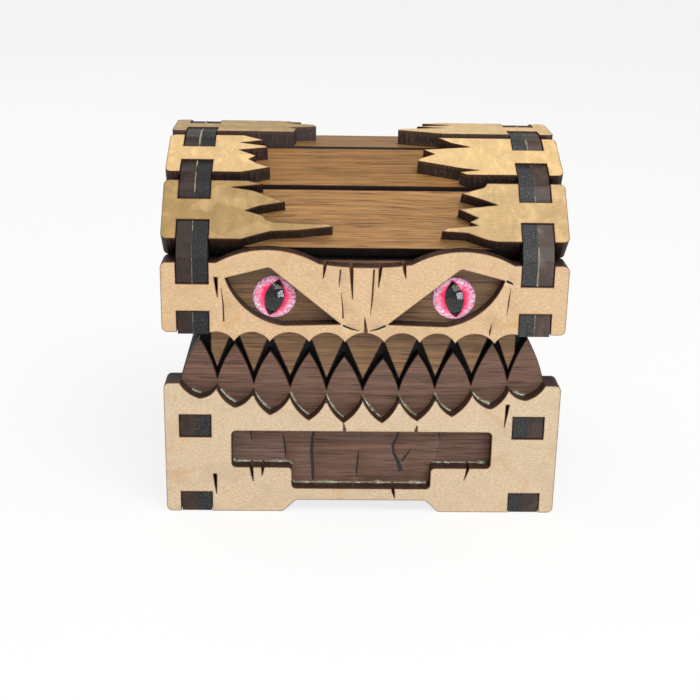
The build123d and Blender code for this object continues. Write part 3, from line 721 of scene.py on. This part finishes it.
def dress_sheets(context, nodes, finishes, grain=X_AXIS, rounded=True, cracks=()):
    """Make a finished sheet for each CAD node, with its own run of grain. The finishes are those
    of its broad faces, its cut edges and its cracks."""
    sheets = context.scene.chest_sheets
    for number, node in enumerate(nodes):
        bm = merged_copy(node)
        normal = broad_direction(bm)
        if rounded:
            round_corners(bm, normal, sheets.corner_round)
        scorch_outline(bm, normal, sheets.scorch_width, cracks, sheets.crack_depth)
        shift = 37.0 * number + 11.0 * len(node)
        lay_grain(bm, normal, grain, shift)
        # Each sheet's darkening share: partly its own tone, partly painted shade.
        deepening_and_shade = bm.verts.layers.float.new("deepening_and_shade")
        for vertex in bm.verts:
            vertex[deepening_and_shade] = TONE_AND_SHADE_DEEPENING.get(node, 0.0)
        finish_piece(bm, node + "_sheet", BODY_OF[node], finishes, (node,))


def nodes_like(*beginnings):
    return sorted(node for node in BODY_OF if node.startswith(beginnings))


# ---------------------------------------------------------------- operators
class CHEST_OT_pale_facings(bpy.types.Operator):
    """Pale plywood facings on the front, the back and the arch"""

    bl_idname = "chest.pale_facings"
    bl_label = "Pale facings"

    def execute(self, context):
        sheets = context.scene.chest_sheets
        edge = charred_edge("charred_facing_edge")
        base = pale_plywood("base_facing_plywood", sheets.facing_base)
        lid = pale_plywood("lid_facing_plywood", sheets.facing_lid)
        arch = pale_plywood("arch_facing_plywood", sheets.facing_arch, depth=0.17, gloss=0.42, sheen=0.5)
        brown = engraved_line("brown_engraving", (0.34, 0.18, 0.09))
        dark = engraved_line("dark_engraving", (0.12, 0.09, 0.09))
        flat = nodes_like("base_front_facing", "base_back_facing")
        dress_sheets(context, flat, (base, edge))
        dress_sheets(context, nodes_like("lid_back_facing"), (lid, edge))
        cracks = [(2, points) for points in FACING_CRACKS] + [(3, points) for points in EYE_CREASES]
        dress_sheets(context, ["lid_front_facing"], (lid, edge, brown, dark), cracks=cracks)
        dress_sheets(context, nodes_like("lid_facing_"), (arch, edge))
        return {"FINISHED"}


class CHEST_OT_walnut_boards(bpy.types.Operator):
    """Walnut-veneered planks, tooth boards, back boards and floor"""

    bl_idname = "chest.walnut_boards"
    bl_label = "Walnut boards"

    def execute(self, context):
        sheets = context.scene.chest_sheets
        edge = charred_edge("charred_walnut_edge", light=(0.2, 0.15, 0.12), rim_share=0.15)
        # The three walnut finishes differ partly by painted light and shade.
        planks = walnut("walnut_plank_veneer", sheets.walnut_plank_lit)
        upper = walnut("walnut_lid_veneer", sheets.walnut_lid_lightened, gloss=0.4)
        lower = walnut("walnut_base_veneer", sheets.walnut_base_shaded, gloss=0.46)
        dark = engraved_line("window_engraving", (0.13, 0.11, 0.12))
        inside = nodes_like("base_back_board", "lid_back_board", "base_floor")
        for nodes in (nodes_like("lid_plank_"), inside):
            dress_sheets(context, nodes, (planks, edge))
        dress_sheets(context, ["lid_front_tooth_board"], (upper, edge))
        cracks = [(2, points) for points in WINDOW_CRACKS]
        dress_sheets(context, ["base_front_tooth_board"], (lower, edge, dark), cracks=cracks)
        return {"FINISHED"}


class CHEST_OT_end_walls(bpy.types.Operator):
    """Brown outer and black inner sheets of the end walls, and the black liner behind the teeth"""

    bl_idname = "chest.end_walls"
    bl_label = "End walls and liner"

    def execute(self, context):
        sheets = context.scene.chest_sheets
        brown = brown_sheet("brown_board_face", sheets.brown_sheet, 0.15)
        brown_end = brown_sheet("brown_board_end", sheets.brown_sheet, 0.5)
        black = black_sheet("black_board_face", sheets.black_sheet, 0.12)
        black_end = black_sheet("black_board_end", sheets.black_sheet, 0.55)
        outer = nodes_like("base_end_outer", "lid_end_outer")
        inner = nodes_like("base_end_inner", "lid_end_inner")
        dress_sheets(context, outer, (brown, brown_end), grain=Y_AXIS, rounded=False)
        dress_sheets(context, inner, (black, black_end), grain=Y_AXIS, rounded=False)
        dress_sheets(context, ["lid_front_liner"], (black, black_end), rounded=False)
        return {"FINISHED"}


class CHEST_OT_glass_eyes(bpy.types.Operator):
    """Clear glass domes over printed irises"""

    bl_idname = "chest.glass_eyes"
    bl_label = "Glass eyes"

    def execute(self, context):
        eyes = context.scene.chest_eyes
        glass = clear_glass("eye_dome_glass")
        print_finish = printed_iris("printed_iris", eyes)
        for side, lean in (("left", 15), ("right", -8)):
            low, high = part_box("eye_iris_" + side)
            middle = Vector(((low.x + high.x) / 2, high.y, (low.z + high.z) / 2))
            thick = high.y - low.y + PRINT_BOND
            self.iris(side, middle, (high.x - low.x) / 2, thick, math.radians(lean), print_finish)
            low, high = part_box("eye_glass_" + side)
            seat = Vector((middle.x, high.y, middle.z))
            self.dome(side, seat, (high.x - low.x) / 2, eyes.dome_height, glass)
        return {"FINISHED"}

    def iris(self, side, seat, radius, thick, lean, material):
        """A disc whose map runs from -1 to 1 across the eye, leaning with the pupil."""
        bm = bmesh.new()
        rings = self.rings(bm, seat, [(radius, 0), (radius, thick), (radius * 0.5, thick)])
        bm.faces.new(rings[0][::-1])
        bm.faces.new(rings[-1])
        uv = bm.loops.layers.uv.new("eye")
        for face in bm.faces:
            for loop in face.loops:
                offset = (loop.vert.co - seat) / radius
                across = offset.x * math.cos(lean) - offset.z * math.sin(lean)
                loop[uv].uv = (across, offset.x * math.sin(lean) + offset.z * math.cos(lean))
        bmesh.ops.recalc_face_normals(bm, faces=bm.faces)
        finish_piece(bm, f"eye_print_{side}", "lid", (material,), (f"eye_iris_{side}",))

    def dome(self, side, seat, radius, height, material):
        ball = (radius ** 2 + height ** 2) / (2 * height)
        spread = math.asin(radius / ball)
        profile = [(radius, 0)]
        for step in range(DOME_STEPS):
            angle = spread * (1 - step / DOME_STEPS)
            profile.append((ball * math.sin(angle), height - ball + ball * math.cos(angle) + CLOSE))
        bm = bmesh.new()
        rings = self.rings(bm, seat, profile)
        bm.faces.new(rings[0][::-1])
        tip = bm.verts.new(seat - Y_AXIS * (height + CLOSE))
        last = rings[-1]
        for first, second in zip(last, last[1:] + last[:1]):
            bm.faces.new((first, second, tip))
        bmesh.ops.recalc_face_normals(bm, faces=bm.faces)
        replaced = (f"eye_glass_{side}",)
        dome = finish_piece(bm, f"eye_dome_{side}", "lid", (material,), replaced, crease=60)
        dome.visible_shadow = False              # clear glass lets the light through to the print

    def rings(self, bm, seat, profile):
        """Rings of a turned shape that faces forwards, from (radius, height) steps, with a skin."""
        turns = [math.tau * n / EYE_SIDES for n in range(EYE_SIDES)]
        rings = []
        for radius, height in profile:
            spots = [Vector((math.cos(turn) * radius, -height, math.sin(turn) * radius)) for turn in turns]
            rings.append([bm.verts.new(seat + spot) for spot in spots])
        skin(bm, rings)
        return rings


class Growth(Nodes):
    """A Geometry Nodes tree being made, with named inputs besides the geometry."""

    def __init__(self, name, **inputs):
        self.tree = bpy.data.node_groups.new(name, "GeometryNodeTree")
        super().__init__(self.tree)
        sockets = self.tree.interface
        for way in ("INPUT", "OUTPUT"):
            sockets.new_socket("Geometry", in_out=way, socket_type="NodeSocketGeometry")
        for label, kind in inputs.items():
            sockets.new_socket(label.replace("_", " "), in_out="INPUT", socket_type="NodeSocket" + kind)
        self.given = self.add("NodeGroupInput").outputs

    def end(self, geometry, material):
        plain = self.add("GeometryNodeRealizeInstances", geometry).outputs["Geometry"]
        painted = self.add("GeometryNodeSetMaterial", Geometry=plain, Material=material)
        self.add("NodeGroupOutput", painted.outputs["Geometry"])
        return self.tree


def glue_tree(material):
    """Geometry Nodes: uneven beads of glue along the edges of a mesh of lines."""
    tree = Growth("glue_beads", Bead_radius="Float", Bead_step="Float", Seed="Int")
    curve = tree.add("GeometryNodeMeshToCurve", Mesh=tree.given["Geometry"]).outputs["Curve"]
    step = tree.given["Bead step"]
    even = tree.add("GeometryNodeResampleCurve", settings={"mode": "LENGTH"}, Curve=curve, Length=step)
    noise = tree.add(
        "ShaderNodeTexNoise", settings={"noise_dimensions": "4D"}, W=tree.given["Seed"], Scale=190, Detail=3)
    swell = tree.add(
        "ShaderNodeMapRange", Value=noise.outputs["Fac"], From_Min=0.47, From_Max=0.75, To_Min=0.6,
        To_Max=2.2)
    radius = tree.maths("MULTIPLY", swell.outputs["Result"], tree.given["Bead radius"])
    thick = tree.add("GeometryNodeSetCurveRadius", Curve=even.outputs["Curve"], Radius=radius)
    round_line = tree.add("GeometryNodeCurvePrimitiveCircle", Resolution=8, Radius=1)
    tube = tree.add(
        "GeometryNodeCurveToMesh", Curve=thick.outputs["Curve"],
        Profile_Curve=round_line.outputs["Curve"], Fill_Caps=True)
    if "Scale" in tube.inputs:
        tree.feed(tube.inputs["Scale"], radius)
    smooth = tree.add("GeometryNodeSetShadeSmooth", tube.outputs["Mesh"])
    return tree.end(smooth.outputs["Geometry"], material)


def grown(name, lines, tree, values):
    """The plain mesh that a Geometry Nodes tree makes from points joined by lines."""
    mesh = bpy.data.meshes.new(name)
    points, edges = [], []
    for line in lines:
        edges += [(len(points) + n, len(points) + n + 1) for n in range(len(line) - 1)]
        points += line
    mesh.from_pydata(points, edges, [])
    carrier = in_scene(name + "_lines", mesh)
    modifier = carrier.modifiers.new("nodes", "NODES")
    modifier.node_group = tree
    for socket in tree.interface.items_tree:
        if socket.in_out == "INPUT" and socket.name in values:
            modifier[socket.identifier] = values[socket.name]
    depsgraph = bpy.context.evaluated_depsgraph_get()
    result = bpy.data.meshes.new_from_object(carrier.evaluated_get(depsgraph))
    result.name = name
    bpy.data.objects.remove(carrier)
    return result


class CHEST_OT_glue(bpy.types.Operator):
    """Dried glue between the lugs' two sheets, in the tooth pockets and along the window"""

    bl_idname = "chest.glue"
    bl_label = "Dried glue"

    def execute(self, context):
        glue = context.scene.chest_glue
        tree = glue_tree(dried_glue("dried_glue", glue.tint))
        for name, body, lines, share in (
                ("glue_in_base_lugs", "base", self.lug_seams("base"), 0.45),
                ("glue_in_lid_lugs", "lid", self.lug_seams("lid"), 0.85),
                ("glue_in_pockets", "base", self.pocket_roots(), 2.0)):
            values = {"Bead radius": glue.radius * share, "Bead step": glue.spacing, "Seed": glue.seed}
            place_piece(grown(name, lines, tree, values), name, body)
        return {"FINISHED"}

    def lug_seams(self, body):
        """Lines over the outer ends of the lugs, where the brown sheet meets the black one."""
        outline = self.outline(f"{body}_end_inner_right")
        hull = [outline[n] for n in convex_hull_2d(outline)]
        sides = list(zip(outline, outline[1:] + outline[:1]))
        lines, line = [], []
        for start, end in sides + sides[:1]:
            if self.ends_lug(Vector(start), Vector(end), hull):
                line = line or [start]
                line.append(end)
            elif line:
                lines.append(line)
                line = []
        if line:
            lines.append(line)
        seams = []
        for line in lines:
            sunk = [Vector(spot) + (SEAM_CENTRE - Vector(spot)).normalized() * SEAM_SUNK for spot in line]
            seams += [[(side * LUG_SEAM_X, y, z) for y, z in sunk] for side in (1, -1)]
        return seams

    def outline(self, node):
        """The (y, z) corners round a sheet that stands along the chest, in order."""
        bm = merged_copy(node)
        x = max(v.co.x for v in bm.verts)
        after = {}
        for face in bm.faces:
            if abs(face.normal.x) < 0.5:
                for loop in face.loops:
                    start, end = loop.vert, loop.link_loop_next.vert
                    if abs(start.co.x - x) < CLOSE and abs(end.co.x - x) < CLOSE:
                        after[start] = end
        points, vertex = [], next(iter(after))
        while vertex in after:
            points.append((vertex.co.y, vertex.co.z))
            vertex = after.pop(vertex)
        bm.free()
        return points

    def ends_lug(self, start, end, hull):
        """True for a side of one lug's outer end: it is short and lies on the sheet's hull."""
        middle = (start + end) / 2
        for corner, next_corner in zip(hull, hull[1:] + hull[:1]):
            way, offset = Vector(next_corner) - Vector(corner), middle - Vector(corner)
            if way.length and abs(way.cross(offset)) / way.length < 2 * CLOSE:
                return (end - start).length < LUG_WIDTH
        return False

    def pocket_roots(self):
        """Lines in the corner between the tooth board and the facing's scallops and window."""
        bm = merged_copy("base_front_facing")
        lines = []
        for face in bm.faces:
            if abs(face.normal.y) < 0.5 and face.normal.z > 0.3 and face.normal.x > -0.1:
                low = [v.co for v in face.verts if abs(v.co.y - BOARD_Y) < CLOSE]
                if len(low) == 2 and all(abs(co.x) < POCKET_X and LOW_Z < co.z < HIGH_Z for co in low):
                    lines.append([co + ROOT_LIFT for co in low])
        bm.free()
        return lines


class CHEST_OT_hinges(bpy.types.Operator):
    """Brass leaves and pins, with slotted round screw heads"""

    bl_idname = "chest.hinges"
    bl_label = "Hinges"

    def execute(self, context):
        hinges = context.scene.chest_hinges
        metal = brass("aged_brass", hinges.brass)
        for node in nodes_like("hinge_leaf", "hinge_pin"):
            for holder in frame["nodes"][node].material_slots:
                holder.link = "OBJECT"
                holder.material = metal
        screw = self.screw(hinges)
        tree = self.screw_tree(metal)
        for body in ("base", "lid"):
            node = f"hinge_screws_{body}"
            name = f"slotted_screws_{body}"
            mesh = grown(name, [[seat] for seat in self.seats(node)], tree, {"Screw": screw, "Seed": 3})
            place_piece(mesh, name, body, (node,))
        bpy.data.objects.remove(screw)
        return {"FINISHED"}

    def seats(self, node):
        """The middle of each screw's outer end."""
        bm = merged_copy(node)
        outer = max(v.co.y for v in bm.verts)
        faces = [f for f in bm.faces if f.normal.y > 0.9 and abs(f.calc_center_median().y - outer) < CLOSE]
        spots = [f.calc_center_bounds() for f in faces]
        bm.free()
        return [(spot.x, spot.y, spot.z) for spot in spots]

    def screw(self, hinges):
        """One screw along +Y whose slotted, domed head starts a little before the origin."""
        bm = bmesh.new()
        radius, height, slot = hinges.head_radius, hinges.head_height, hinges.slot_width / 2
        first = math.asin(slot / radius)
        half_turn = [first + (math.pi - 2 * first) * n / HEAD_STEPS for n in range(HEAD_STEPS + 1)]
        for side in (1, -1):
            rings = []
            for scale, rise in HEAD_PROFILE:
                wide, y = radius * scale, height * rise - HEAD_SUNK
                spots = [(math.cos(turn) * wide, max(math.sin(turn) * wide, slot)) for turn in half_turn]
                rings.append([bm.verts.new((x, y, z * side)) for x, z in spots])
            skin(bm, rings)
            bm.faces.new(rings[0])
            bm.faces.new(rings[-1])
        turns = [math.pi * n / HEAD_STEPS for n in range(2 * HEAD_STEPS)]
        slot_floor = (-HEAD_SUNK, height * 0.3 - HEAD_SUNK, radius * 0.98)
        for low, top, wide in (slot_floor, (-SCREW_LENGTH, -HEAD_SUNK, SCREW_RADIUS)):
            spots = [(math.cos(turn) * wide, math.sin(turn) * wide) for turn in turns]
            rings = [[bm.verts.new((x, y, z)) for x, z in spots] for y in (low, top)]
            skin(bm, rings)
            bm.faces.new(rings[0])
            bm.faces.new(rings[1])
        bmesh.ops.recalc_face_normals(bm, faces=bm.faces)
        return bpy.data.objects.new("one_screw", mesh_of(bm, "one_screw"))

    def screw_tree(self, metal):
        """Geometry Nodes: one screw on each point, each turned by its own angle."""
        tree = Growth("screws_on_points", Screw="Object", Seed="Int")
        screw = tree.add("GeometryNodeObjectInfo", Object=tree.given["Screw"])
        turn = tree.add(
            "FunctionNodeRandomValue", settings={"data_type": "FLOAT_VECTOR"},
            Min=(0, -SCREW_TURN, 0), Max=(0, SCREW_TURN, 0), Seed=tree.given["Seed"])
        placed = tree.add(
            "GeometryNodeInstanceOnPoints", Points=tree.given["Geometry"],
            Instance=screw.outputs["Geometry"], Rotation=turn.outputs["Value"])
        return tree.end(placed.outputs["Instances"], metal)


class CHEST_OT_stage(bpy.types.Operator):
    """Pale floor, soft light and the camera"""

    bl_idname = "chest.stage"
    bl_label = "Stage"

    def execute(self, context):
        stage = context.scene.chest_stage
        self.floor(stage)
        self.lamp("key_light", stage.key_power, size=0.5, place=Vector((0.14, -0.36, 0.6)))
        window = self.lamp("window_light", stage.window_power, size=0.34, place=Vector((0.31, -0.6, 0.2)))
        window.visible_diffuse = False           # a pale window, seen only as a sheen
        window.data.color = (0.84, 0.92, 1)
        self.lamp("back_light", stage.back_power, size=0.5, place=Vector((-0.3, 0.55, 0.5)))
        self.daylight(context, stage)
        self.camera(context, stage)
        context.scene.view_settings.view_transform = "Standard"
        return {"FINISHED"}

    def floor(self, stage):
        bm = bmesh.new()
        bmesh.ops.create_grid(bm, x_segments=1, y_segments=1, size=4.0)
        floor = in_scene("floor", mesh_of(bm, "floor"))
        f = Finish("pale_floor")
        f.done(linear(stage.floor), 0.9)
        white = f.add("ShaderNodeEmission", Color=(1, 1, 1, 1)).outputs["Emission"]
        rays = f.add("ShaderNodeLightPath").outputs
        seen = f.maths("MAXIMUM", rays["Is Camera Ray"], rays["Is Glossy Ray"])
        seen = f.maths("MAXIMUM", seen, rays["Is Transmission Ray"])
        share = f.maths("MULTIPLY", seen, FLOOR_WHITE)
        blend = f.add("ShaderNodeMixShader", share, f.shader.outputs["BSDF"], white)
        f.feed(f.nodes["Material Output"].inputs["Surface"], blend.outputs["Shader"])
        floor.data.materials.append(f.material)

    def lamp(self, name, power, size, place):
        light = bpy.data.lights.new(name, "AREA")
        light.shape = "SQUARE"
        light.size = size
        light.energy = power
        lamp = in_scene(name, light)
        lamp.location = place
        lamp.rotation_euler = (Vector((0, 0, 0.04)) - place).to_track_quat("-Z", "Y").to_euler()
        return lamp

    def daylight(self, context, stage):
        """Even light all round, seen by the camera as plain white."""
        world = bpy.data.worlds.new("daylight")
        world.use_nodes = True
        sky = Nodes(world.node_tree)
        around = sky.nodes["Background"]
        around.inputs["Color"].default_value = (1, 0.99, 0.98, 1)
        around.inputs["Strength"].default_value = stage.daylight
        white = sky.add("ShaderNodeBackground", Color=(1, 1, 1, 1)).outputs["Background"]
        seen = sky.add("ShaderNodeLightPath").outputs["Is Camera Ray"]
        blend = sky.add("ShaderNodeMixShader", seen, around.outputs["Background"], white)
        sky.feed(sky.nodes["World Output"].inputs["Surface"], blend.outputs["Shader"])
        context.scene.world = world

    def camera(self, context, stage):
        """The place and aim that the photograph was fitted with."""
        place = Vector((-0.01085, -0.32421, 0.13981))
        yaw, pitch, roll = 0.027, 0.335, 0.018
        forward = Vector((
            math.sin(yaw) * math.cos(pitch), math.cos(yaw) * math.cos(pitch), -math.sin(pitch)))
        level = Vector((math.cos(yaw), -math.sin(yaw), 0))
        upright = level.cross(forward)
        right = level * math.cos(roll) + upright * math.sin(roll)
        up = upright * math.cos(roll) - level * math.sin(roll)
        aim = Matrix((right, up, -forward)).transposed().to_4x4()
        data = bpy.data.cameras.new("camera")
        data.lens = stage.lens
        data.sensor_width = 36
        data.sensor_fit = "HORIZONTAL"
        data.clip_start = 0.01
        camera = in_scene("camera", data)
        camera.matrix_world = Matrix.Translation(place) @ aim
        context.scene.camera = camera


STEPS = (
    CHEST_OT_stage, CHEST_OT_pale_facings, CHEST_OT_walnut_boards, CHEST_OT_end_walls,
    CHEST_OT_glass_eyes, CHEST_OT_glue, CHEST_OT_hinges,
)
SETTINGS = {
    "chest_sheets": ChestSheets, "chest_eyes": ChestEyes, "chest_glue": ChestGlue,
    "chest_hinges": ChestHinges, "chest_stage": ChestStage,
}


class CHEST_PT_steps(bpy.types.Panel):
    """The chest's pieces and their settings"""

    bl_label = "Dice storage chest"
    bl_space_type = "VIEW_3D"
    bl_region_type = "UI"
    bl_category = "Chest"

    def draw(self, context):
        for step in STEPS:
            self.layout.operator(step.bl_idname)
        for name, group in SETTINGS.items():
            box = self.layout.box()
            for setting in group.__annotations__:
                box.prop(getattr(context.scene, name), setting)


CLASSES = (*SETTINGS.values(), *STEPS, CHEST_PT_steps)


def register():
    for made in CLASSES:
        bpy.utils.register_class(made)
    for name, group in SETTINGS.items():
        setattr(bpy.types.Scene, name, PointerProperty(type=group))


def unregister():
    for name in SETTINGS:
        delattr(bpy.types.Scene, name)
    for made in reversed(CLASSES):
        bpy.utils.unregister_class(made)


def main():
    register()
    for step in STEPS:
        family, name = step.bl_idname.split(".")
        getattr(getattr(bpy.ops, family), name)()


if __name__ == "__main__":
    main()
